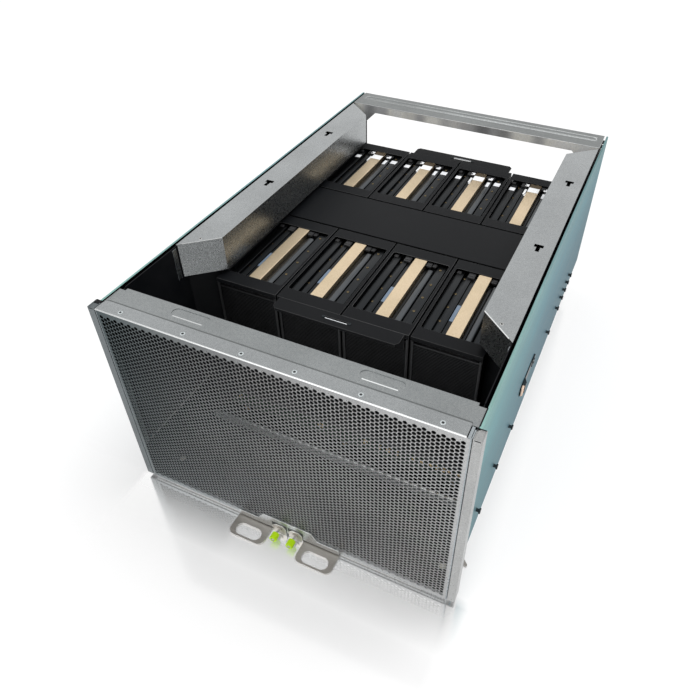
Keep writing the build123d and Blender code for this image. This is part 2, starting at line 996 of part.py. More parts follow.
def make_tab_screws():
    screws = []
    for x in (-tab_screw_x, tab_screw_x):
        y = module_rows[0] - tab_plate_reach / 2
        screws.append(rod_z(x, y, tab_screw_radius, (module_top, module_top + tab_screw_head)))
    return screws + [turned_to_rear(screw) for screw in screws]


def build_nodes():
    nodes = {}
    nodes["floor_pan"] = make_floor_pan()
    for name, maker in (
        ("side_skin", make_side_skin),
        ("side_liner", make_side_liner),
        ("ear", make_ear),
        ("air_duct", make_air_duct),
        ("air_baffle", make_air_baffle),
        ("stop_latch", make_stop_latch),
        ("latch_pad", make_latch_pad),
        ("cam_lever", make_cam_lever),
        ("screw_ferrule", make_ferrule),
        ("screw_retainer", make_retainer),
        ("thumbscrew", make_thumbscrew),
        ("screw_knob", make_knob),
    ):
        piece = maker()
        nodes["right_" + name] = piece
        nodes["left_" + name] = mirrored(piece)
    nodes["front_panel"] = make_front_panel()
    nodes["front_cross_bar"] = make_front_cross_bar()
    nodes["panel_screws"] = make_panel_screws()
    nodes["rear_cross_bar"] = make_rear_cross_bar()
    nodes["duct_screws"] = make_duct_screws()
    nodes["rail_studs"] = make_rail_studs()
    nodes["latch_clamps"] = make_latch_clamps()
    nodes["lever_pivots"] = make_lever_pivots()
    nodes["lever_bracket"] = make_lever_bracket()
    nodes["lever_nuts"] = make_lever_nuts()
    nodes["baseboard"] = make_baseboard()
    nodes["board_standoffs"] = make_standoffs()
    nodes["board_connectors"] = make_connectors()
    shroud = make_shroud()
    heatsink = make_heatsink()
    for number, (x, front) in enumerate(module_centres(), start=1):
        nodes[f"module_shroud_{number}"] = Pos(x, front, 0) * shroud
        nodes[f"module_heatsink_{number}"] = Pos(x, front, 0) * heatsink
    nodes["gold_bars"] = make_gold_bars()
    nodes["centre_cover"] = make_centre_cover()
    nodes["switch_heatsinks"] = make_switch_heatsinks()
    front_tab = make_tab_plate()
    nodes["front_tab_plate"] = front_tab
    nodes["rear_tab_plate"] = turned_to_rear(front_tab)
    nodes["tab_screws"] = make_tab_screws()
    return nodes


os.makedirs("parts", exist_ok=True)
to_origin = Pos(0, (lever_reach - body_depth) / 2, 0)
for node, shape in build_nodes().items():
    pieces = shape if isinstance(shape, list) else [shape]
    placed = [to_origin * piece for piece in pieces]
    export_step(placed[0] if len(placed) == 1 else Compound(children=placed), f"parts/{node}.step")
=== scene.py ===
import bmesh
import bpy
import json
from math import cos, pi, radians, sin, sqrt, tau
from mathutils import Matrix, Vector

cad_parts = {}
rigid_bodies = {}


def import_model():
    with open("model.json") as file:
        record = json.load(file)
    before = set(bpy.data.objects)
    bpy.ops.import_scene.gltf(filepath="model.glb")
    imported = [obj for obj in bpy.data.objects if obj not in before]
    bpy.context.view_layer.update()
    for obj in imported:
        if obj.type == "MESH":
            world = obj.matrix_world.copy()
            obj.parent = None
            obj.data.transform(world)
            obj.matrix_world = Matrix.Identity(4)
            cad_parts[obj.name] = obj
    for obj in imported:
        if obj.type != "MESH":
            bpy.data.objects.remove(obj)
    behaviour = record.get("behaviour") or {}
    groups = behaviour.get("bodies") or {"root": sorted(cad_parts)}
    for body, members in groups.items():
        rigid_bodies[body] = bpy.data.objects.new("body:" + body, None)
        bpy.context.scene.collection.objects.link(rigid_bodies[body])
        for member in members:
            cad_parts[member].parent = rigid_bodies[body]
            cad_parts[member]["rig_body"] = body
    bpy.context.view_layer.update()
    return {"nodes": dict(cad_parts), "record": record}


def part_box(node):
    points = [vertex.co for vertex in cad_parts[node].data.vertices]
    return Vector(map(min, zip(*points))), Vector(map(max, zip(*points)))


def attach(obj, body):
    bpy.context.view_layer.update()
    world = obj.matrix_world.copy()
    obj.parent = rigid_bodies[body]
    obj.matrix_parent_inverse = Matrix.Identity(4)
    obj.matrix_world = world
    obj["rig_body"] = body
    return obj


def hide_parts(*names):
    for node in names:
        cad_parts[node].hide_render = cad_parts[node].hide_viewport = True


# GPU tray of a rack server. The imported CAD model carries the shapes; this script adds the
# fine perforation, the fin stacks, small hardware, rounded edges and the materials.
# Metres, in the frame of the CAD model: X runs right, Y runs back and Z runs up.

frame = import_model()
nodes = frame["nodes"]
mm = 0.001


def low(node):
    """Lowest corner of a CAD node."""
    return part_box(node)[0]


def high(node):
    """Highest corner of a CAD node."""
    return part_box(node)[1]


# Levels and faces read from the frame
panel_face = low("front_panel").y
body_rear = high("rear_cross_bar").y
body_top = high("front_panel").z
skin_face = high("right_side_skin").x
module_count = 8


# Materials

def new_material(name):
    """Empty node material and its Principled shader."""
    material = bpy.data.materials.new(name)
    material.use_nodes = True
    return material, material.node_tree.nodes["Principled BSDF"]


def add_node(material, kind, **settings):
    """Shader node with its inputs or properties set by name."""
    node = material.node_tree.nodes.new(kind)
    for key, value in settings.items():
        if key in node.inputs:
            node.inputs[key].default_value = value
        else:
            setattr(node, key, value)
    return node


def link(material, start, end):
    material.node_tree.links.new(start, end)


def place_node(material, scale=(1, 1, 1)):
    """Object coordinates, stretched along chosen axes."""
    where = add_node(material, "ShaderNodeTexCoord")
    mapping = add_node(material, "ShaderNodeMapping")
    mapping.inputs["Scale"].default_value = scale
    link(material, where.outputs["Object"], mapping.inputs["Vector"])
    return mapping.outputs["Vector"]


def noise(material, vector, scale, detail=2.0, rough=0.5):
    node = add_node(material, "ShaderNodeTexNoise", Scale=scale, Detail=detail, Roughness=rough)
    link(material, vector, node.inputs["Vector"])
    return node.outputs["Fac"]


def ramp(material, value, stops):
    """Colour ramp with stops of place and grey level or colour."""
    node = material.node_tree.nodes.new("ShaderNodeValToRGB")
    elements = node.color_ramp.elements
    while len(elements) < len(stops):
        elements.new(0.5)
    for element, (place, colour) in zip(elements, stops):
        element.position = place
        rgb = colour if isinstance(colour, tuple) else (colour, colour, colour)
        element.color = (*rgb, 1)
    link(material, value, node.inputs["Fac"])
    return node.outputs["Color"]


def blend_colours(material, factor, first, second, mode="MIX"):
    node = material.node_tree.nodes.new("ShaderNodeMix")
    node.data_type = "RGBA"
    node.blend_type = mode
    for socket, value in ((node.inputs[0], factor), (node.inputs[6], first), (node.inputs[7], second)):
        if isinstance(value, bpy.types.NodeSocket):
            link(material, value, socket)
        elif isinstance(value, tuple):
            socket.default_value = (*value, 1)
        else:
            socket.default_value = value
    return node.outputs[2]


def bump(material, shader, height, strength, distance):
    node = add_node(material, "ShaderNodeBump", Strength=strength, Distance=distance)
    link(material, height, node.inputs["Height"])
    link(material, node.outputs["Normal"], shader.inputs["Normal"])


def along(material, axis, start, end, stops):
    """Colour that changes from start to end of one axis."""
    parts = add_node(material, "ShaderNodeSeparateXYZ")
    link(material, add_node(material, "ShaderNodeTexCoord").outputs["Object"], parts.inputs[0])
    share = add_node(material, "ShaderNodeMapRange")
    share.inputs["From Min"].default_value = start
    share.inputs["From Max"].default_value = end
    link(material, parts.outputs[axis], share.inputs["Value"])
    return ramp(material, share.outputs[0], stops)


def zinc(name, colour, dark, rough, shade=None, metallic=1.0):
    """Spangled galvanised sheet: small grains of slightly different grey and gloss."""
    material, shader = new_material(name)
    where = place_node(material)
    grain = add_node(material, "ShaderNodeTexVoronoi", Scale=900.0)
    link(material, where, grain.inputs["Vector"])
    grains = add_node(material, "ShaderNodeSeparateColor")
    link(material, grain.outputs["Color"], grains.inputs["Color"])
    cloud = noise(material, where, 14.0, 3.0)
    fine = noise(material, where, 2600.0, 1.0)
    mottled = blend_colours(material, grains.outputs["Red"], dark, colour)
    clouds = ramp(material, cloud, ((0.3, 0.86), (0.7, 1.0)))
    cloudy = blend_colours(material, clouds, (0, 0, 0), mottled)
    specks = ramp(material, fine, ((0.35, 0.3), (0.65, 0.95)))
    speckled = blend_colours(material, 0.3, cloudy, specks, "OVERLAY")
    if shade:
        speckled = blend_colours(material, 1.0, speckled, shade(material), "MULTIPLY")
    link(material, speckled, shader.inputs["Base Color"])
    rough_range = ((0.0, rough - 0.07), (1.0, rough + 0.1))
    link(material, ramp(material, grains.outputs["Green"], rough_range), shader.inputs["Roughness"])
    shader.inputs["Metallic"].default_value = metallic
    bump(material, shader, fine, 0.12, 0.0003)
    return material


def brushed(name, colour, dark, stretch, rough):
    """Sheet or turned metal with fine lines along one axis."""
    material, shader = new_material(name)
    where = place_node(material, stretch)
    lines = noise(material, where, 900.0, 3.0, 0.7)
    wide = noise(material, where, 120.0, 2.0)
    mix = blend_colours(material, lines, dark, colour)
    shade = ramp(material, wide, ((0.3, 0.7), (0.7, 1.0)))
    tone = blend_colours(material, 0.35, mix, shade, "MULTIPLY")
    link(material, tone, shader.inputs["Base Color"])
    rough_range = ((0.2, rough - 0.08), (0.8, rough + 0.12))
    link(material, ramp(material, lines, rough_range), shader.inputs["Roughness"])
    shader.inputs["Metallic"].default_value = 1.0
    bump(material, shader, lines, 0.08, 0.0002)
    return material


def streaked_zinc(name):
    """Bluish zinc of the outer sides, with faint rolling streaks along the sheet, and painted shade that
    darkens it towards the bottom and towards the rear.
    """
    material, shader = new_material(name)
    where = add_node(material, "ShaderNodeTexCoord").outputs["Object"]
    parts = add_node(material, "ShaderNodeSeparateXYZ")
    link(material, where, parts.inputs[0])
    height = add_node(material, "ShaderNodeMath", operation="DIVIDE")
    link(material, parts.outputs["Z"], height.inputs[0])
    height.inputs[1].default_value = body_top
    # Painted shade: darker towards the bottom of the sheet.
    bands = ramp(material, height.outputs[0], (
        (0.1, (0.14, 0.23, 0.26)), (0.6, (0.18, 0.31, 0.34)),
        (0.85, (0.23, 0.42, 0.43)), (1.0, (0.32, 0.5, 0.46)),
    ))
    # Painted shade: darker towards the rear.
    depth = along(material, "Y", panel_face, body_rear, (
        (0.0, (0.93, 1.0, 1.0)), (0.5, (0.68, 0.7, 0.8)), (1.0, (0.56, 0.6, 0.67)),
    ))
    bands = blend_colours(material, 1.0, bands, depth, "MULTIPLY")
    streaks = noise(material, place_node(material, (1, 0.05, 1)), 160.0, 4.0, 0.65)
    fine = noise(material, place_node(material), 2400.0, 1.0)
    streaked = ramp(material, streaks, ((0.35, 0.6), (0.65, 1.0)))
    tone = blend_colours(material, 0.7, bands, streaked, "MULTIPLY")
    grains = ramp(material, fine, ((0.35, 0.3), (0.65, 0.9)))
    grained = blend_colours(material, 0.2, tone, grains, "OVERLAY")
    link(material, grained, shader.inputs["Base Color"])
    link(material, ramp(material, streaks, ((0.3, 0.38), (0.7, 0.5))), shader.inputs["Roughness"])
    shader.inputs["Metallic"].default_value = 0.55
    shader.inputs["Specular IOR Level"].default_value = 0.25
    shader.inputs["Specular Tint"].default_value = (0.45, 0.6, 0.62, 1)
    bump(material, shader, streaks, 0.1, 0.0002)
    return material


def painted(name, colour, light, rough, grain=1800.0, metallic=0.0, gloss=0.5):
    """Powder coat or moulded plastic: an even colour with a fine orange-peel surface."""
    material, shader = new_material(name)
    where = place_node(material)
    peel = noise(material, where, grain, 2.0)
    smudge = noise(material, where, 25.0, 4.0, 0.6)
    mix = blend_colours(material, ramp(material, smudge, ((0.35, 0.0), (0.75, 1.0))), colour, light)
    link(material, mix, shader.inputs["Base Color"])
    rough_range = ((0.2, rough - 0.06), (0.8, rough + 0.08))
    link(material, ramp(material, smudge, rough_range), shader.inputs["Roughness"])
    shader.inputs["Metallic"].default_value = metallic
    shader.inputs["Specular IOR Level"].default_value = gloss
    bump(material, shader, peel, 0.1, 0.0002)
    return material


galvanised = zinc("galvanised", (0.41, 0.425, 0.43), (0.34, 0.355, 0.36), 0.3)
side_zinc = streaked_zinc("side_zinc")
# The bar, rear bar and strip zincs are darker copies of the galvanised sheet: painted shade.
bar_zinc = zinc("bar_zinc", (0.32, 0.335, 0.335), (0.26, 0.275, 0.28), 0.32)
rear_bar_zinc = zinc("rear_bar_zinc", (0.26, 0.272, 0.27), (0.21, 0.222, 0.222), 0.36)
strip_zinc = zinc("strip_zinc", (0.37, 0.385, 0.39), (0.31, 0.325, 0.33), 0.3)
# Darker zinc as painted shade at the seam of the strip's joggle.
seam_shade_zinc = zinc("seam_shade_zinc", (0.19, 0.2, 0.2), (0.15, 0.16, 0.16), 0.5)
bend_zinc = zinc("bend_zinc", (0.42, 0.46, 0.48), (0.34, 0.37, 0.39), 0.3)


def panel_painted_shade(material):
    """Painted shade across the panel, dark bluish at the left to light grey at the right, stronger along
    its top, as the sheet mirrors the shadowed floor.
    """
    upper_stops = ((0.0, (0.1, 0.14, 0.15)), (0.5, 0.53), (1.0, 0.94))
    lower_stops = ((0.0, (0.33, 0.37, 0.38)), (1.0, 0.84))
    upper = along(material, "X", -skin_face, skin_face, upper_stops)
    lower = along(material, "X", -skin_face, skin_face, lower_stops)
    height = along(material, "Z", 0.0, body_top, ((0.0, 0.0), (0.9, 1.0)))
    return blend_colours(material, height, lower, upper)


def ear_shade(material):
    """The left ear stands in shade, the right one in light."""
    return along(material, "X", -skin_face, skin_face, ((0.45, (0.38, 0.42, 0.44)), (0.55, 1.0)))


def fold_painted_shade(material):
    """Painted shade on the painted highlights: the bright fold is a little duller at its left end."""
    return along(material, "X", -skin_face, skin_face, ((0.0, 0.62), (0.6, 1.0)))


def flange_reflection_patches(material):
    """Painted reflection: soft patches of light and dark along the rear bar, as a smooth sheet would
    mirror them.
    """
    patches = noise(material, place_node(material, (1, 0.01, 0.01)), 9.0, 2.0, 0.6)
    return ramp(material, patches, (
        (0.38, 0.12), (0.46, 0.5), (0.52, (0.95, 0.93, 0.86)), (0.66, 0.9), (0.72, 0.4),
    ))


# The grille's zinc carries painted shade across the panel.
grille_zinc = zinc("grille_zinc", (0.5, 0.505, 0.505), (0.43, 0.435, 0.44), 0.34, panel_painted_shade)
ear_zinc = zinc("ear_zinc", (0.43, 0.435, 0.43), (0.37, 0.375, 0.375), 0.34, ear_shade)
# Near-white zinc as painted highlight on folds, rims, bead edges, rear bar lines, the rib and the duct
# folds.
painted_highlight = zinc("painted_highlight", (0.95, 0.97, 0.97), (0.88, 0.9, 0.9), 0.3, fold_painted_shade)
stainless = brushed("stainless", (0.62, 0.585, 0.54), (0.46, 0.43, 0.395), (0.05, 1, 1), 0.42)
bright_screw = brushed("bright_screw", (0.8, 0.86, 0.87), (0.55, 0.6, 0.61), (1, 0.1, 1), 0.25)
screw_steel = brushed("screw_steel", (0.72, 0.72, 0.71), (0.55, 0.55, 0.54), (1, 0.1, 1), 0.25)
# Black coat of black sheet parts, also used as painted shade in the ear and rear bar slots.
black_paint_and_shade = painted("black_paint_and_shade", (0.004, 0.0045, 0.0055), (0.007, 0.0075, 0.0085), 0.45, gloss=0.11)
# Near-black as painted shade on the pan floor and the inner faces of the side skins.
painted_shade_black = painted("painted_shade_black", (0.001, 0.001, 0.001), (0.0015, 0.0015, 0.0015), 0.6, gloss=0.02)
# Dark grey as painted highlight on the rims of the tab plates and module shrouds.
painted_rim_highlight = painted("painted_rim_highlight", (0.035, 0.035, 0.036), (0.06, 0.06, 0.06), 0.4)
# Pale zinc with painted reflections on the rear bar's front flange.
painted_flange_reflection = zinc("painted_flange_reflection", (1.0, 1.0, 1.0), (0.9, 0.92, 0.95), 0.3, flange_reflection_patches, 0.1)
dark_fins = painted("dark_fins", (0.03, 0.031, 0.033), (0.045, 0.046, 0.048), 0.36, 1200.0, 0.6)
rail_metal = brushed("rail_metal", (0.05, 0.053, 0.056), (0.02, 0.022, 0.024), (1, 0.04, 1), 0.34)
rail_silver = brushed("rail_silver", (0.17, 0.18, 0.19), (0.05, 0.055, 0.06), (1, 0.03, 1), 0.3)
gold = zinc("gold", (0.84, 0.67, 0.46), (0.74, 0.58, 0.39), 0.36)
brass = brushed("brass", (0.36, 0.28, 0.16), (0.2, 0.16, 0.09), (1, 1, 0.1), 0.28)
# Near-white as painted reflection on rear-module rails and painted highlight on tab slot edges.
painted_glint = painted("painted_glint", (0.78, 0.8, 0.83), (0.97, 0.97, 0.97), 0.3, 900.0)
gilt = brushed("gilt", (0.95, 0.72, 0.36), (0.8, 0.58, 0.28), (1, 1, 0.1), 0.25)
# Dark gold as painted shade at the rear end of the rear gold bars.
painted_gold_shade = brushed("painted_gold_shade", (0.2, 0.15, 0.09), (0.14, 0.1, 0.06), (1, 1, 0.1), 0.4)
board_green = painted("board_green", (0.012, 0.03, 0.018), (0.02, 0.045, 0.026), 0.4)
# Black plastic, also used as painted shade in the recesses of screws, spring screws and knob sockets.
moulded_black_and_recess_shade = painted("moulded_black_and_recess_shade", (0.015, 0.015, 0.016), (0.024, 0.024, 0.025), 0.5)
dark_steel = painted("dark_steel", (0.02, 0.028, 0.032), (0.04, 0.05, 0.056), 0.33, 1500.0, 0.7)
lime = painted("lime", (0.54, 0.88, 0.0), (0.62, 0.93, 0.01), 0.4, 1500.0)
peach = painted("peach", (0.85, 0.6, 0.45), (0.9, 0.68, 0.53), 0.5, 1500.0)
blue_strip = painted("blue_strip", (0.13, 0.18, 0.25), (0.2, 0.26, 0.34), 0.35)

slot_material = {
    "galvanised": galvanised,
    "galvanised_side": side_zinc,
    "stainless": stainless,
    "black_sheet": black_paint_and_shade,
    "fins": dark_fins,
    "gold_anodised": gold,
    "board": board_green,
    "connector": moulded_black_and_recess_shade,
    "brass_post": brass,
    "screw_steel": screw_steel,
    "dark_steel": dark_steel,
    "lime_knob": lime,
    "touch_pad": peach,
}
slot_of = {part["node"]: part["material_slot"] for part in frame["record"]["subparts"]}


# Mesh tools

sharp_angle = 20
lobes = 6
lobe_depth = 0.12
proud = 0.02 * mm


def finish_mesh(bm, name, material, body="chassis", weighted=True):
    """Turn a bmesh into a piece that rides on a body."""
    bmesh.ops.recalc_face_normals(bm, faces=bm.faces)
    mesh = bpy.data.meshes.new(name)
    bm.to_mesh(mesh)
    bm.free()
    piece = bpy.data.objects.new(name, mesh)
    bpy.context.scene.collection.objects.link(piece)
    mesh.materials.append(material)
    if weighted:
        mesh.shade_smooth()
        mesh.set_sharp_from_angle(angle=radians(60))
        normals = piece.modifiers.new("flat faces", "WEIGHTED_NORMAL")
        normals.keep_sharp = True
        normals.weight = 100
    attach(piece, body)
    return piece


def bevel_edges(bm, edges, width):
    return bmesh.ops.bevel(
        bm, geom=edges, offset=width, offset_type="OFFSET", segments=2,
        profile=0.5, affect="EDGES", clamp_overlap=True,
    )["faces"]


def sharp_edges(bm):
    return [
        edge for edge in bm.edges
        if len(edge.link_faces) == 2 and edge.calc_face_angle(0) > radians(sharp_angle)
    ]


# Rim faces of these nodes take a painted highlight.
rim_highlight = {
    "lever_bracket": painted_highlight, "left_cam_lever": painted_highlight, "right_cam_lever": painted_highlight,
    "rear_cross_bar": painted_highlight, "front_tab_plate": painted_rim_highlight, "rear_tab_plate": painted_rim_highlight,
}
copy_material = {
    "left_ear": ear_zinc, "right_ear": ear_zinc,
    "front_cross_bar": bar_zinc, "rear_cross_bar": rear_bar_zinc,
}


def rounded_copy(node, width):
    """A CAD node again, with its sheared or folded edges rounded off by width."""
    bm = bmesh.new()
    bm.from_mesh(nodes[node].data)
    bmesh.ops.remove_doubles(bm, verts=bm.verts, dist=0.000002)
    bmesh.ops.dissolve_limit(bm, angle_limit=radians(0.5), verts=bm.verts, edges=bm.edges)
    rims = bevel_edges(bm, sharp_edges(bm), width)
    rim = rim_highlight.get(node) or (painted_rim_highlight if node.startswith("module_shroud") else None)
    if rim:
        for face in rims:
            face.material_index = 1
    body = nodes[node]["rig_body"]
    material = copy_material.get(node, slot_material[slot_of[node]])
    piece = finish_mesh(bm, node + "_rounded", material, body)
    if rim:
        piece.data.materials.append(rim)
    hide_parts(node)
    return piece


def add_box(bm, x, y, z, bevel=0.0):
    """Box between two places along each axis, with its edges rounded by bevel."""
    size = [b - a for a, b in (x, y, z)]
    centre = Vector([(a + b) / 2 for a, b in (x, y, z)])
    shape = Matrix.Translation(centre) @ Matrix.Diagonal((*size, 1))
    made = bmesh.ops.create_cube(bm, size=1, matrix=shape)
    if bevel:
        edges = list({edge for vert in made["verts"] for edge in vert.link_edges})
        bmesh.ops.bevel(bm, geom=edges, offset=bevel, segments=2, profile=0.5, affect="EDGES")


def turn_to(axis):
    """Matrix that turns +Z to the given axis."""
    return Vector((0, 0, 1)).rotation_difference(Vector(axis)).to_matrix().to_4x4()


def circle_point(radius, turn, height):
    """Point at a height on a circle round the Z axis."""
    return Vector((radius * cos(turn), radius * sin(turn), height))


def add_revolved(bm, profile, centre, axis=(0, 0, 1), steps=24, recess=0.0, depth=0.0):
    """Turned solid: profile is radius and height from the outside in; a lobed recess is optional."""
    place = Matrix.Translation(Vector(centre)) @ turn_to(axis)
    turns = [tau * i / steps for i in range(steps)]
    rings = []
    for radius, height in profile:
        rings.append([bm.verts.new(place @ circle_point(radius, turn, height)) for turn in turns])
    if recess:
        top = profile[-1][1]
        for level in (top, top - depth):
            ring = []
            for turn in turns:
                reach = recess * (1 + lobe_depth * cos(lobes * turn))
                ring.append(bm.verts.new(place @ circle_point(reach, turn, level)))
            rings.append(ring)
    pit = len(rings) - 2 if recess else len(rings)
    for index, (first, second) in enumerate(zip(rings, rings[1:])):
        for i in range(steps):
            face = bm.faces.new((first[i - 1], first[i], second[i], second[i - 1]))
            face.material_index = int(index >= pit)
    bm.faces.new(rings[-1]).material_index = int(bool(recess))
    bm.faces.new(rings[0][::-1])


# Front panel: the real fine perforation in place of the coarse one of the solid

hole_pitch = 5.55 * mm
hole_width = 4.8 * mm
hole_corner = 0.28
field_side = 3.2 * mm
field_low = 5.0 * mm
field_top = 4.7 * mm
panel_sheet = 1.2 * mm
grille_sheet = 0.9 * mm
side_bend = 1.9 * mm
bend_steps = 5
notch_half = 4.5 * mm
notch_over = 3.0 * mm
panel_return = 12 * mm
return_gap = 0.3 * mm
strip_bend = 1.3 * mm
strip_sink = 0.2 * mm
strip_depth = 18 * mm
strip_corner = 5 * mm
strip_joggle = 2.6 * mm

bend_edge = low("right_ear").x - 0.25 * mm
cell_corner = hole_pitch / sqrt(3)
column_pitch = 1.5 * cell_corner
grille_right = bend_edge - side_bend
grille_low = low("front_panel").z
grille_top = body_top - strip_bend
columns = int((high("front_panel").x - field_side - cell_corner) / column_pitch)
rows = int((grille_top - field_top - grille_low - field_low) / hole_pitch)
first_row = grille_low + field_low + hole_pitch / 2
field_bottom = first_row - hole_pitch / 2
field_roof = first_row + (rows - 0.5) * hole_pitch
screw_low = low("right_thumbscrew")
screw_high = high("right_thumbscrew")
screw_x = abs(screw_low.x + screw_high.x) / 2
notch_top = screw_high.z + notch_over
hexagon = [Vector((cos(tau * i / 6), sin(tau * i / 6))) for i in range(6)]


def add_cell(bm, x, z):
    """One six-sided cell of the sheet round its hole."""
    outer = [bm.verts.new((x + cell_corner * c.x, panel_face, z + cell_corner * c.y)) for c in hexagon]
    hole = []
    for i in range(6):
        for other in (hexagon[i - 1], hexagon[(i + 1) % 6]):
            spot = hexagon[i].lerp(other, hole_corner) * (hole_width / sqrt(3))
            hole.append(bm.verts.new((x + spot.x, panel_face, z + spot.y)))
    for i in range(6):
        j = (i + 1) % 6
        bm.faces.new((outer[i], hole[2 * i], hole[2 * i + 1]))
        bm.faces.new((outer[i], hole[2 * i + 1], hole[2 * j], outer[j]))


def add_panel_face(bm, points):
    """Face on the front of the panel through points of X and Z."""
    bm.faces.new([bm.verts.new((x, panel_face, z)) for x, z in points])


def add_level_borders(bm):
    """Plain strips below and above the holes, stepped to fit the staggered columns."""
    for column in range(-columns, columns + 1):
        x = column * column_pitch
        step = hole_pitch / 2 if column % 2 else 0
        next_step = hole_pitch / 2 - step
        for border, field, inwards in ((grille_low, field_bottom, 1), (grille_top, field_roof, -1)):
            edge = field + inwards * step
            points = [(x - cell_corner / 2, edge), (x + cell_corner / 2, edge)]
            if column < columns:
                points.append((x + cell_corner, field + inwards * next_step))
            for (x1, z1), (x2, z2) in zip(points, points[1:]):
                add_panel_face(bm, ((x1, z1), (x2, z2), (x2, border), (x1, border)))


def add_side_borders(bm):
    """Plain strips down both sides of the holes."""
    odd = columns % 2
    for sign in (-1, 1):
        border = sign * grille_right
        far = sign * (columns * column_pitch + cell_corner)
        near = sign * (columns * column_pitch + cell_corner / 2)
        points = [(near, grille_low)]
        for row in range(rows - odd):
            z = first_row + (row + odd / 2) * hole_pitch
            points.append((near, z - hole_pitch / 2))
            points.append((far, z))
        points.append((near, points[-1][1] + hole_pitch / 2))
        points.append((near, grille_top))
        for (x1, z1), (x2, z2) in zip(points, points[1:]):
            add_panel_face(bm, ((x1, z1), (x2, z2), (border, z2), (border, z1)))


def in_screw_notch(place):
    """True where the panel is cut away for a thumbscrew."""
    return abs(abs(place.x) - screw_x) < notch_half and place.z < notch_top


def make_grille():
    """Flat sheet of staggered six-sided holes with rounded corners, framed by a plain border."""
    bm = bmesh.new()
    for column in range(-columns, columns + 1):
        odd = column % 2
        for row in range(rows - odd):
            add_cell(bm, column * column_pitch, first_row + (row + odd / 2) * hole_pitch)
    add_level_borders(bm)
    add_side_borders(bm)
    bmesh.ops.remove_doubles(bm, verts=bm.verts, dist=0.00002)
    notches = [face for face in bm.faces if in_screw_notch(face.calc_center_median())]
    bmesh.ops.delete(bm, geom=notches, context="FACES")
    bmesh.ops.recalc_face_normals(bm, faces=bm.faces)
    front = [face for face in bm.faces if face.normal.y > 0]
    bmesh.ops.reverse_faces(bm, faces=front)
    made = bmesh.ops.extrude_face_region(bm, geom=list(bm.faces))
    moved = [item for item in made["geom"] if isinstance(item, bmesh.types.BMVert)]
    bmesh.ops.translate(bm, verts=moved, vec=(0, grille_sheet, 0))
    return finish_mesh(bm, "front_grille", grille_zinc, weighted=False)


def make_side_bends():
    """Rounded folds down both sides of the grille, running into the side returns."""
    bm = bmesh.new()
    for side in (-1, 1):
        outer = [(grille_right, panel_face)]
        inner = [(grille_right, panel_face + panel_sheet)]
        for index in range(1, bend_steps + 1):
            turn = pi / 2 * index / bend_steps
            for path, radius in ((outer, side_bend), (inner, side_bend - panel_sheet)):
                back = panel_face + side_bend - radius * cos(turn)
                path.append((grille_right + radius * sin(turn), back))
        outer.append((bend_edge, panel_face + panel_return))
        inner.append((bend_edge - panel_sheet, panel_face + panel_return))
        loop = outer + inner[::-1]
        top = body_top - (return_gap if side > 0 else strip_bend)
        rings = [[bm.verts.new((side * x, y, z)) for x, y in loop] for z in (grille_low, top)]
        for i in range(len(loop)):
            bm.faces.new((rings[0][i - 1], rings[0][i], rings[1][i], rings[1][i - 1]))
        for ring in rings:
            bm.faces.new(ring)
    finish_mesh(bm, "panel_side_bends", bend_zinc)


grille = make_grille()
make_side_bends()
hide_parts("front_panel")


# Strip folded back from the top of the front panel, and what shows at its ends

def make_panel_strip():
    """Fold along the front with a painted highlight, flat strip with rounded rear corners, and a joggle
    down to the bar with painted shade at its seam.
    """
    left = -(bend_edge - 0.6 * mm)
    right = high("front_panel").x - 4.5 * mm
    step = panel_sheet - 0.15 * mm
    flat = body_top - strip_sink
    sections = []
    for share in (0.0, 0.25, 0.5, 0.75, 1.0):
        reach = strip_corner * (1 - sqrt(1 - (1 - share) ** 2))
        sections.append((left + share * strip_corner, strip_depth - reach))
        sections.append((right - 0.2 * share * strip_corner, strip_depth - 0.2 * reach))
    sections.sort()
    bm = bmesh.new()
    rings = []
    for x, depth in sections:
        path = []
        for index in range(bend_steps + 1):
            turn = pi / 2 * index / bend_steps
            drop = (strip_bend - strip_sink) * (1 - cos(turn))
            path.append((strip_bend * (1 - sin(turn)), flat - drop))
        path = path[::-1]
        path += [
            (depth, flat), (depth + strip_joggle, body_top - step),
            (depth + strip_joggle, body_top - panel_sheet), (strip_bend, body_top - panel_sheet),
            (strip_bend, body_top - strip_bend),
        ]
        rings.append([bm.verts.new((x, panel_face + y, z)) for y, z in path])
    for first, second in zip(rings, rings[1:]):
        for i in range(len(first)):
            face = bm.faces.new((first[i - 1], first[i], second[i], second[i - 1]))
            # Material 1 is the painted highlight of the fold and 2 the painted shade of the seam at the
            # joggle
            if 1 <= i <= bend_steps:
                face.material_index = 1
            if i == bend_steps + 2:
                face.material_index = 2
    for ring in (rings[0], rings[-1]):
        bm.faces.new(ring)
    strip = finish_mesh(bm, "panel_strip", strip_zinc)
    strip.data.materials.append(painted_highlight)
    strip.data.materials.append(seam_shade_zinc)
    bm = bmesh.new()
    x = (right + 0.9 * mm, grille_right + 0.2 * mm)
    y = (panel_face + 0.6 * mm, panel_face + 15 * mm)
    add_box(bm, x, y, (body_top - 4 * mm, body_top - 0.5 * mm), 0.3 * mm)
    finish_mesh(bm, "panel_strip_end", bend_zinc)


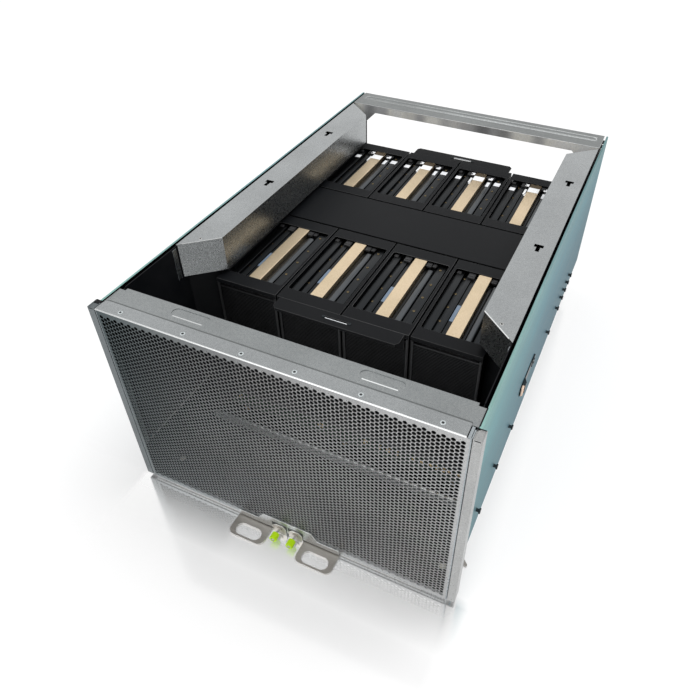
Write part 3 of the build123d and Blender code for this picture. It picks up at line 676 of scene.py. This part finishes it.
def make_ear_slot_shades():
    """Black boxes of painted shade in the slit below the folded cap of each ear, in the opening behind
    it, and in the gap at the end of the bar.
    """
    bm = bmesh.new()
    inner = low("right_ear").x
    outer = high("right_ear").x
    back = high("right_ear").y
    top = high("right_ear").z
    slit_y = (panel_face - 0.03 * mm, panel_face + 0.3 * mm)
    for side in (-1, 1):
        slit = sorted((side * (inner + 1.6 * mm), side * (outer - 1.6 * mm)))
        add_box(bm, slit, slit_y, (top - 1.9 * mm, top - 0.7 * mm))
        hollow = sorted((side * (inner + 1.0 * mm), side * (outer - 0.9 * mm)))
        depth = 5.4 * mm if side < 0 else 1.2 * mm
        add_box(bm, hollow, (back - depth, back + proud), (top - 2 * mm, top + proud))
    gap = skin_face - 2.8 * mm
    gap_y = (panel_face + 17 * mm, panel_face + 42 * mm)
    add_box(bm, (gap - 0.7 * mm, gap + 0.7 * mm), gap_y, (top - 1 * mm, top + proud))
    finish_mesh(bm, "ear_slot_shades", black_paint_and_shade)


bead_x = 115 * mm
bead_half = 19.5 * mm
bead_y = (panel_face + 27.4 * mm, panel_face + 28.8 * mm)


def make_bead_lights():
    """Painted highlight along the front edge of the two beads in the front bar."""
    bm = bmesh.new()
    level = body_top - panel_sheet
    z = (level - 0.6 * mm, level + 0.05 * mm)
    for x in (-bead_x, bead_x):
        add_box(bm, (x - bead_half, x + bead_half), bead_y, z, 0.04 * mm)
    finish_mesh(bm, "bead_highlights", painted_highlight)


make_panel_strip()
make_ear_slot_shades()
make_bead_lights()


# The rest of the CAD nodes: rounded edges where light catches them, and their materials

edge_width = {
    "front_cross_bar": 0.35, "rear_cross_bar": 0.35, "lever_bracket": 0.3, "floor_pan": 0.3,
    "left_air_duct": 0.35, "right_air_duct": 0.35, "left_ear": 0.5, "right_ear": 0.5,
    "left_side_skin": 0.35, "right_side_skin": 0.35, "left_cam_lever": 0.35, "right_cam_lever": 0.35,
    "gold_bars": 0.4, "centre_cover": 0.4, "front_tab_plate": 0.3, "rear_tab_plate": 0.3,
    "left_screw_knob": 0.25, "right_screw_knob": 0.25, "left_stop_latch": 0.2, "right_stop_latch": 0.2,
    "left_latch_pad": 0.5, "right_latch_pad": 0.5, "latch_clamps": 0.2, "board_connectors": 0.5,
}
for number in range(1, module_count + 1):
    edge_width[f"module_shroud_{number}"] = 0.4
copies = {node: rounded_copy(node, width * mm) for node, width in edge_width.items()}


def blacken_inside():
    """Near-black painted shade on the inner faces of the floor pan and of the side skins."""
    half = -low("floor_pan").x - 2 * panel_sheet
    front = low("floor_pan").y + 2 * panel_sheet
    for node in ("floor_pan", "left_side_skin", "right_side_skin"):
        mesh = copies[node].data
        # The added black is painted shade.
        coat = len(mesh.materials)
        mesh.materials.append(painted_shade_black)
        for face in mesh.polygons:
            inside = abs(face.center.x) < half and face.center.y > front
            upwards = node == "floor_pan" and inside and face.normal.z > 0.5
            inwards = face.normal.x * face.center.x < 0 and abs(face.normal.x) > 0.5
            if upwards or inwards:
                face.material_index = coat


blacken_inside()


def dress_rear_bar():
    """Front flange with painted reflections, painted highlights along the beads, and black boxes of
    painted shade for the slots at the right end.
    """
    mesh = copies["rear_cross_bar"].data
    flange = len(mesh.materials)
    mesh.materials.append(painted_flange_reflection)
    front = low("rear_cross_bar").y
    for face in mesh.polygons:
        if face.normal.y < -0.9 and abs(face.center.y - front) < 0.5 * mm:
            face.material_index = flange
    bm = bmesh.new()
    half = high("rear_cross_bar").x - 9 * mm
    line_z = (body_top - 0.7 * mm, body_top + proud)
    for y, width in ((24.0, 0.9), (27.5, 0.5), (37.6, 0.7)):
        place = front + y * mm
        add_box(bm, (-half, half), (place, place + width * mm), line_z, 0.1 * mm)
    half += 8 * mm
    edge_z = (body_top - 0.8 * mm, body_top + proud)
    add_box(bm, (-half, half), (front - proud, front + 0.7 * mm), edge_z, 0.2 * mm)
    finish_mesh(bm, "rear_bar_highlights", painted_highlight)
    # Black boxes as painted shade in the slots.
    bm = bmesh.new()
    slot_x = (high("rear_cross_bar").x - 0.3 * mm, skin_face - 0.4 * mm)
    slot_z = (body_top - 3 * mm, body_top - 0.3 * mm)
    for y, length in ((8.0, 7.0), (24.0, 9.0)):
        add_box(bm, slot_x, (front + y * mm, front + (y + length) * mm), slot_z)
    finish_mesh(bm, "rear_bar_slot_shades", black_paint_and_shade)


rib_half = 205 * mm
rib_front = panel_face + 129 * mm
rib_sheet = 3 * mm
rib_height = 15 * mm
contact_front = panel_face + 148.5 * mm
contact_depth = 3 * mm
contact_z = (41 * mm, 48 * mm)
# Middle and width of each contact, in millimetres
contacts = (
    (-167, 4), (-33, 5), (-28, 2), (41, 6), (63, 4), (76, 6), (90, 3),
    (114, 5), (126, 4), (139, 7), (149, 5), (157, 6), (165, 5), (180, 6),
)


def make_rib_and_contacts():
    """Rib across the floor behind the grille in near-white as painted highlight, and gilt contacts along
    the board's front edge.
    """
    bm = bmesh.new()
    floor = low("floor_pan").z + 1.6 * mm
    rib_y = (rib_front, rib_front + rib_sheet)
    add_box(bm, (-rib_half, rib_half), rib_y, (floor, floor + rib_height), 0.8 * mm)
    finish_mesh(bm, "floor_rib", painted_highlight)
    bm = bmesh.new()
    contact_y = (contact_front, contact_front + contact_depth)
    for x, width in contacts:
        add_box(bm, ((x - width / 2) * mm, (x + width / 2) * mm), contact_y, contact_z, 0.4 * mm)
    finish_mesh(bm, "board_contacts", gilt)


def make_slot_lights():
    """Painted highlight along the front edge of the slot in each tab plate."""
    bm = bmesh.new()
    for node, side in (("front_tab_plate", 1), ("rear_tab_plate", -1)):
        edge = low(node).y if side > 0 else high(node).y
        y = sorted((edge + side * 8.9 * mm, edge + side * 9.8 * mm))
        top = high(node).z
        add_box(bm, (-15 * mm, 15 * mm), y, (top - 0.5 * mm, top + 0.25 * mm), 0.1 * mm)
    finish_mesh(bm, "tab_slot_highlights", painted_glint)


fold_start = 5 * mm


def depth_of(spot):
    return spot[1]


def make_duct_tabs():
    """Weld tabs on the liners just before the ducts, and painted highlights along the folds at the ducts'
    front ends.
    """
    tabs = bmesh.new()
    folds = bmesh.new()
    front = low("left_air_duct").y
    wall = high("right_side_liner").x - panel_sheet
    tab_z = (body_top - 48 * mm, body_top - 3 * mm)
    for side in (-1, 1):
        tab = sorted((side * (wall - 0.8 * mm), side * (wall + 0.1 * mm)))
        add_box(tabs, tab, (front - 10 * mm, front - 3 * mm), tab_z, 0.2 * mm)
    for node in ("left_air_duct", "right_air_duct"):
        corners = {
            (round(vert.co.x, 5), round(vert.co.y, 5))
            for vert in nodes[node].data.vertices if vert.co.z > body_top - 0.5 * mm
        }
        outer = min(corners, key=depth_of)[0]
        side = 1 if outer > 0 else -1
        inner = min((spot for spot in corners if abs(spot[0]) < abs(outer) - 30 * mm), key=depth_of)
        slope = (inner[1] - front) / abs(outer - inner[0])
        start = Vector((outer - side * fold_start, front + 0.2 * mm + fold_start * slope, 0))
        run = Vector((inner[0], inner[1], 0)) - start
        turn = Matrix.Rotation(run.to_2d().angle_signed(Vector((1, 0))), 4, "Z")
        middle = start + run * 0.5 + Vector((0, -0.2 * mm, body_top - 0.3 * mm))
        size = Matrix.Diagonal((run.length - 1 * mm, 1.4 * mm, 0.64 * mm, 1))
        bmesh.ops.create_cube(folds, size=1, matrix=Matrix.Translation(middle) @ turn @ size)
    finish_mesh(tabs, "duct_tabs", bend_zinc)
    finish_mesh(folds, "duct_fold_highlights", painted_highlight)


dress_rear_bar()
make_rib_and_contacts()
make_duct_tabs()
make_slot_lights()


# Modules: fin stacks, rails, screws and connectors on the heat sink of each one

fin_pitch = 2.4 * mm
fin_sheet = 0.6 * mm
sink_base = 8 * mm
core_half = 8 * mm
core_inset = 12 * mm
lip_low = 8 * mm
rail_step = 4.2 * mm
module_front = [low(f"module_shroud_{number}").y for number in range(1, module_count + 1)]
module_middle = [
    (low(f"module_shroud_{number}").x + high(f"module_shroud_{number}").x) / 2
    for number in range(1, module_count + 1)
]
shroud_top = high("module_shroud_1").z
shroud_half = (high("module_shroud_1").x - low("module_shroud_1").x) / 2
sink_low = low("module_heatsink_1").z
sink_front = low("module_heatsink_1").y - module_front[0]
sink_rear = high("module_heatsink_1").y - module_front[0]
sink_half = (high("module_heatsink_1").x - low("module_heatsink_1").x) / 2
rail_top = high("module_heatsink_1").z
plate_top = low("gold_bars").z
plate_low = plate_top - 2 * mm
window_front = low("gold_bars").y - module_front[0]
window_rear = window_front + 135 * mm
gold_top = high("gold_bars").z
dot_places = (50 * mm, 80 * mm, 110 * mm, 146 * mm)


def make_fin_stack():
    """Base, fins, core and top plate of a heat sink, with its rear wall and the shroud's front lips."""
    bm = bmesh.new()
    base_top = sink_low + sink_base
    x = (-sink_half, sink_half)
    y = (sink_front, sink_rear)
    add_box(bm, x, y, (sink_low, base_top), 0.3 * mm)
    add_box(bm, x, y, (plate_low, plate_top), 0.3 * mm)
    level = base_top + fin_pitch
    while level < plate_low - fin_sheet:
        add_box(bm, x, y, (level, level + fin_sheet))
        level += fin_pitch
    core_y = (sink_front + core_inset, sink_rear - core_inset)
    add_box(bm, (-core_half, core_half), core_y, (base_top, plate_low))
    add_box(bm, x, (sink_rear - 1.5 * mm, sink_rear), (plate_top, shroud_top - 1.3 * mm))
    for side in (-1, 1):
        edges = sorted((side * (shroud_half - 1.1 * mm), side * (shroud_half - 3.6 * mm)))
        add_box(bm, edges, (0.3 * mm, 1.3 * mm), (sink_low, shroud_top - lip_low), 0.25 * mm)
    return bm


def make_rails():
    """Rails seen through the window, each a little different, and the narrow steps between them."""
    bm = bmesh.new()
    start = window_front - 5 * mm
    end = window_rear + 5 * mm
    flat = (
        (-39.4, -28.6, 0.0, 0.5), (-23.4, -16.2, 0.0, 0.4),
        (-15.6, -9.8, -1.2, 0.4), (26.6, 38.2, 0.0, 0.5),
    )
    for left, right, drop, bevel in flat:
        add_box(bm, (left * mm, right * mm), (start, end), (plate_top, rail_top + drop * mm), bevel * mm)
    for left, right in ((-28.2, -23.8), (24.4, 26.2), (9.6, 13.4), (38.6, 43.0), (-43.0, -39.8)):
        add_box(bm, (left * mm, right * mm), (start, end), (plate_top, plate_top + rail_step), 0.2 * mm)
    return bm


def make_round_rail():
    """Rounded bright rail to the right of the gold bar."""
    bm = bmesh.new()
    y = (window_front - 5 * mm, window_rear - 12 * mm)
    add_box(bm, (14 * mm, 24 * mm), y, (plate_top, rail_top), 3.2 * mm)
    return bm


def make_painted_sheen():
    """Painted reflections: near-white patches at the rear ends of the rails and on the gold bar of a rear
    module.
    """
    bm = bmesh.new()
    for left, right, front, rear, drop in (
        (-38.4, -29.4, 29.0, 19.0, 0.0), (27.2, 37.4, 27.0, 16.0, 0.0), (-15.0, -11.5, 32.0, 14.0, -1.0),
        (-12.5, -9.6, 36.0, 28.0, -1.0), (15.5, 20.5, 35.0, 20.0, 0.0), (14.5, 21.5, 13.0, 5.0, 1.0),
        (-16.5, -10.5, 9.0, 2.0, 2.2),
    ):
        top = rail_top + drop * mm
        y = (window_rear - front * mm, window_rear - rear * mm)
        add_box(bm, (left * mm, right * mm), y, (top - 0.5 * mm, top + 0.25 * mm), 0.1 * mm)
    y = (window_rear - 28 * mm, window_rear - 13 * mm)
    add_box(bm, (-8.6 * mm, 8.6 * mm), y, (gold_top - 0.5 * mm, gold_top + 0.06 * mm))
    return bm


def make_painted_gold_shade_ends():
    """Painted shade: darker rear end of a gold bar of a rear module."""
    bm = bmesh.new()
    y = (window_rear - 13 * mm, window_rear - 1.5 * mm)
    add_box(bm, (-8.7 * mm, 8.7 * mm), y, (gold_top - 0.5 * mm, gold_top + 0.06 * mm))
    return bm


def make_dots():
    """Small spring screws along both screw lines."""
    bm = bmesh.new()
    for x, top in ((-26.0 * mm, plate_top + rail_step), (31.5 * mm, rail_top)):
        for y in dot_places:
            profile = (
                (1.7 * mm, 0.0), (1.7 * mm, 0.5 * mm), (1.5 * mm, 0.7 * mm),
                (1.1 * mm, 0.7 * mm), (1.0 * mm, 0.3 * mm), (0.6 * mm, 0.3 * mm),
            )
            add_revolved(bm, profile, (x, y, top), steps=16, recess=0.5 * mm, depth=0.2 * mm)
    return bm


def make_plugs():
    """Moulded plugs at the rear end of the window."""
    bm = bmesh.new()
    rear = window_rear
    for left, right, depth, top in (
        (-22.5, -13.0, 11.0, 2.0), (10.0, 17.5, 9.0, 1.4),
        (18.5, 24.0, 7.0, 1.0), (-39.0, -33.0, 6.0, 1.0),
    ):
        x = (left * mm, right * mm)
        add_box(bm, x, (rear - depth * mm, rear), (rail_top - 2 * mm, rail_top + top * mm), 0.5 * mm)
        ridge = (rear - depth * mm * 0.7, rear - depth * mm * 0.4)
        ridge_z = (rail_top, rail_top + (top + 0.6) * mm)
        add_box(bm, (x[0] + 1 * mm, x[1] - 1 * mm), ridge, ridge_z, 0.2 * mm)
    return bm


def make_marker():
    """Blank bluish strip beside the gold bar of a front module."""
    bm = bmesh.new()
    top = rail_top - 1.2 * mm
    add_box(bm, (-15.2 * mm, -10.2 * mm), (52 * mm, 86 * mm), (top - 0.5 * mm, top + 0.4 * mm), 0.15 * mm)
    return bm


def dress_modules():
    """One mesh of each kind, shared by the modules that show it."""
    rear_only = ("painted_sheen_patches", "painted_gold_shade_ends")
    kinds = (
        ("fins", make_fin_stack, dark_fins, "fins"),
        ("rails", make_rails, rail_metal, "fins"),
        ("round_rail", make_round_rail, rail_silver, "fins"),
        ("painted_sheen_patches", make_painted_sheen, painted_glint, "fins"),
        ("painted_gold_shade_ends", make_painted_gold_shade_ends, painted_gold_shade, "gold_anodised"),
        ("dots", make_dots, brass, "brass_post"),
        ("plugs", make_plugs, moulded_black_and_recess_shade, "connector"),
        ("marker", make_marker, blue_strip, "connector"),
    )
    for label, maker, material, slot in kinds:
        mesh = None
        for index in range(module_count):
            number = index + 1
            rear_row = index >= module_count / 2
            if (label == "marker" and rear_row) or (label in rear_only and not rear_row):
                continue
            name = f"module_{label}_{number}"
            if mesh is None:
                piece = finish_mesh(maker(), name, material, weighted=label != "fins")
                mesh = piece.data
                if label == "dots":
                    # Black as painted shade in the recesses.
                    mesh.materials.append(moulded_black_and_recess_shade)
            else:
                piece = bpy.data.objects.new(name, mesh)
                bpy.context.scene.collection.objects.link(piece)
                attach(piece, "chassis")
            piece.location = (module_middle[index], module_front[index], 0)
            if label == "fins":
                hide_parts(f"module_heatsink_{number}")


dress_modules()


# Screws with a six-lobed recess

def screw_profile(radius, height, cone=0.15):
    edge = radius * cone
    return (
        (radius, 0.0), (radius, height - edge), (radius - edge, height),
        (radius * 0.62, height), (radius * 0.6, height - 0.05 * mm),
    )


def make_screws(node, spots, radius, height, material, pit):
    """Detailed heads in place of a node's plain ones; spots are the centres of their undersides."""
    bm = bmesh.new()
    for spot in spots:
        add_revolved(bm, screw_profile(radius, height), spot, (0, 0, 1), 24, radius * 0.5, pit)
    piece = finish_mesh(bm, node + "_heads", material)
    # The recess takes black as painted shade.
    piece.data.materials.append(moulded_black_and_recess_shade)
    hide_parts(node)


def islands_of(node):
    """Lowest and highest corner of each loose part of a node's mesh."""
    bm = bmesh.new()
    bm.from_mesh(nodes[node].data)
    bmesh.ops.remove_doubles(bm, verts=bm.verts, dist=0.000002)
    left = set(bm.verts)
    boxes = []
    while left:
        stack = [left.pop()]
        points = []
        while stack:
            vert = stack.pop()
            points.append(vert.co.copy())
            for edge in vert.link_edges:
                other = edge.other_vert(vert)
                if other in left:
                    left.remove(other)
                    stack.append(other)
        boxes.append((
            Vector([min(p[i] for p in points) for i in range(3)]),
            Vector([max(p[i] for p in points) for i in range(3)]),
        ))
    bm.free()
    return boxes


def top_spots(node, height):
    """Centre of each loose part, at the level height below its top."""
    return [((a.x + b.x) / 2, (a.y + b.y) / 2, b.z - height) for a, b in islands_of(node)]


panel_spots = top_spots("panel_screws", 1.0 * mm)
duct_spots = top_spots("duct_screws", 0.7 * mm)
tab_spots = top_spots("tab_screws", 0.8 * mm)
make_screws("panel_screws", panel_spots, 3.0 * mm, 1.0 * mm, bright_screw, 0.15 * mm)
make_screws("duct_screws", duct_spots, 2.5 * mm, 0.65 * mm, screw_steel, 0.6 * mm)
make_screws("tab_screws", tab_spots, 2.0 * mm, 0.8 * mm, dark_steel, 0.5 * mm)


# Thumbscrews: a silvery socket in the face of each lime knob

def make_sockets():
    """Turned socket with a lobed recess in the front of each knob."""
    for side in ("left", "right"):
        corner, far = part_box(f"{side}_screw_knob")
        centre = ((corner.x + far.x) / 2, corner.y + 0.6 * mm, (corner.z + far.z) / 2)
        bm = bmesh.new()
        radius = 3.0 * mm
        profile = (
            (radius, 0.0), (radius, 0.45 * mm), (radius * 0.9, 0.6 * mm), (radius * 0.6, 0.6 * mm),
        )
        add_revolved(bm, profile, centre, (0, -1, 0), 24, radius * 0.5, 0.5 * mm)
        socket = finish_mesh(bm, f"{side}_knob_socket", screw_steel, f"{side}_screw")
        # The recess takes black as painted shade.
        socket.data.materials.append(moulded_black_and_recess_shade)


make_sockets()

for node, thing in nodes.items():
    thing.data.materials.clear()
    thing.data.materials.append(slot_material[slot_of[node]])


# Camera, from the perspective of the photograph

camera_place = Vector((0.29232, -0.70969, 0.75846))
camera_right = Vector((0.91064, 0.41311, 0.00889))
camera_down = Vector((0.27747, -0.59542, -0.75398))
camera_ahead = Vector((-0.30618, 0.68907, -0.65683))
camera_lens = 33.085
camera_shift = (-0.0413, -0.0276)

camera_data = bpy.data.cameras.new("camera")
camera = bpy.data.objects.new("camera", camera_data)
bpy.context.scene.collection.objects.link(camera)
camera_data.sensor_width = 36
camera_data.lens = camera_lens
camera_data.shift_x, camera_data.shift_y = camera_shift
turned = Matrix((camera_right, -camera_down, -camera_ahead)).transposed().to_4x4()
camera.matrix_world = Matrix.Translation(camera_place) @ turned
camera_data.clip_start = 0.01
camera_data.clip_end = 50
bpy.context.scene.camera = camera


# Floor, world and lamps

floor_size = 30
floor_lift = 0.45
floor_gloss = 0.12
near_gloss = 0.8
gloss_reach = 64 * mm
world_light = 0.66
sun_strength = 1.9


def make_floor():
    """White glossy table: lit for shadows, lifted to white where the camera looks at it."""
    mesh = bpy.data.meshes.new("floor")
    edge = floor_size / 2
    corners = [(-edge, -edge, 0), (edge, -edge, 0), (edge, edge, 0), (-edge, edge, 0)]
    mesh.from_pydata(corners, [], [(0, 1, 2, 3)])
    floor = bpy.data.objects.new("floor", mesh)
    bpy.context.scene.collection.objects.link(floor)
    material = bpy.data.materials.new("floor")
    material.use_nodes = True
    tree = material.node_tree
    tree.nodes.clear()
    out = add_node(material, "ShaderNodeOutputMaterial")
    matte = add_node(material, "ShaderNodeBsdfDiffuse", Color=(0.93, 0.93, 0.93, 1))
    glow = add_node(material, "ShaderNodeEmission", Strength=1.0)
    gloss = add_node(material, "ShaderNodeBsdfGlossy", Color=(1, 1, 1, 1), Roughness=0.12)
    path = add_node(material, "ShaderNodeLightPath")
    seen = add_node(material, "ShaderNodeMath", operation="MAXIMUM")
    link(material, path.outputs["Is Camera Ray"], seen.inputs[0])
    link(material, path.outputs["Is Glossy Ray"], seen.inputs[1])
    half = add_node(material, "ShaderNodeMath", operation="MULTIPLY")
    link(material, seen.outputs[0], half.inputs[0])
    half.inputs[1].default_value = floor_lift
    lifted = add_node(material, "ShaderNodeMixShader")
    link(material, half.outputs[0], lifted.inputs[0])
    link(material, matte.outputs[0], lifted.inputs[1])
    link(material, glow.outputs[0], lifted.inputs[2])
    shown = add_node(material, "ShaderNodeMixShader")
    near = along(material, "Y", panel_face + gloss_reach, panel_face - gloss_reach, (
        (0.4, floor_gloss), (0.5, near_gloss), (0.75, (near_gloss + floor_gloss) / 2), (1.0, floor_gloss),
    ))
    beside = along(material, "X", skin_face, skin_face + 30 * mm, ((0.0, 1.0), (1.0, floor_gloss)))
    left_edge = -skin_face - 16 * mm
    left_side = along(material, "X", left_edge, left_edge + 8 * mm, ((0.0, floor_gloss), (1.0, 1.0)))
    sides = blend_colours(material, 1.0, beside, left_side, "MULTIPLY")
    link(material, blend_colours(material, 1.0, near, sides, "MULTIPLY"), shown.inputs[0])
    link(material, lifted.outputs[0], shown.inputs[1])
    link(material, gloss.outputs[0], shown.inputs[2])
    link(material, shown.outputs[0], out.inputs["Surface"])
    mesh.materials.append(material)


def make_world():
    """Even studio light; the camera and glossy surfaces see it as white."""
    world = bpy.data.worlds.new("studio")
    bpy.context.scene.world = world
    world.use_nodes = True
    tree = world.node_tree
    tree.nodes.clear()
    out = tree.nodes.new("ShaderNodeOutputWorld")
    light = tree.nodes.new("ShaderNodeBackground")
    light.inputs["Color"].default_value = (1, 1, 1, 1)
    light.inputs["Strength"].default_value = world_light
    white = tree.nodes.new("ShaderNodeBackground")
    white.inputs["Color"].default_value = (1, 1, 1, 1)
    path = tree.nodes.new("ShaderNodeLightPath")
    seen = tree.nodes.new("ShaderNodeMath")
    seen.operation = "MAXIMUM"
    tree.links.new(path.outputs["Is Camera Ray"], seen.inputs[0])
    tree.links.new(path.outputs["Is Glossy Ray"], seen.inputs[1])
    mix = tree.nodes.new("ShaderNodeMixShader")
    tree.links.new(seen.outputs[0], mix.inputs[0])
    tree.links.new(light.outputs[0], mix.inputs[1])
    tree.links.new(white.outputs[0], mix.inputs[2])
    tree.links.new(mix.outputs[0], out.inputs["Surface"])


def add_lamp(name, place, target, size, power):
    data = bpy.data.lights.new(name, "AREA")
    data.shape = "RECTANGLE"
    data.size, data.size_y = size
    data.energy = power
    lamp = bpy.data.objects.new(name, data)
    bpy.context.scene.collection.objects.link(lamp)
    lamp.location = place
    lamp.rotation_euler = (Vector(target) - Vector(place)).to_track_quat("-Z", "Y").to_euler()


def add_sun(place, strength, spread):
    """Soft light from behind, which lays the shadow in front of the tray."""
    data = bpy.data.lights.new("sun", "SUN")
    data.energy = strength
    data.angle = radians(spread)
    lamp = bpy.data.objects.new("sun", data)
    bpy.context.scene.collection.objects.link(lamp)
    lamp.rotation_euler = (-Vector(place)).to_track_quat("-Z", "Y").to_euler()
    lamp.visible_glossy = False


make_floor()
make_world()
add_sun((0.8, 0.8, 2.4), sun_strength, 40)
add_lamp("front", (-0.6, -1.9, 1.7), (0, 0, 0.2), (1.6, 0.8), 8)

bpy.context.scene.view_settings.view_transform = "Standard"
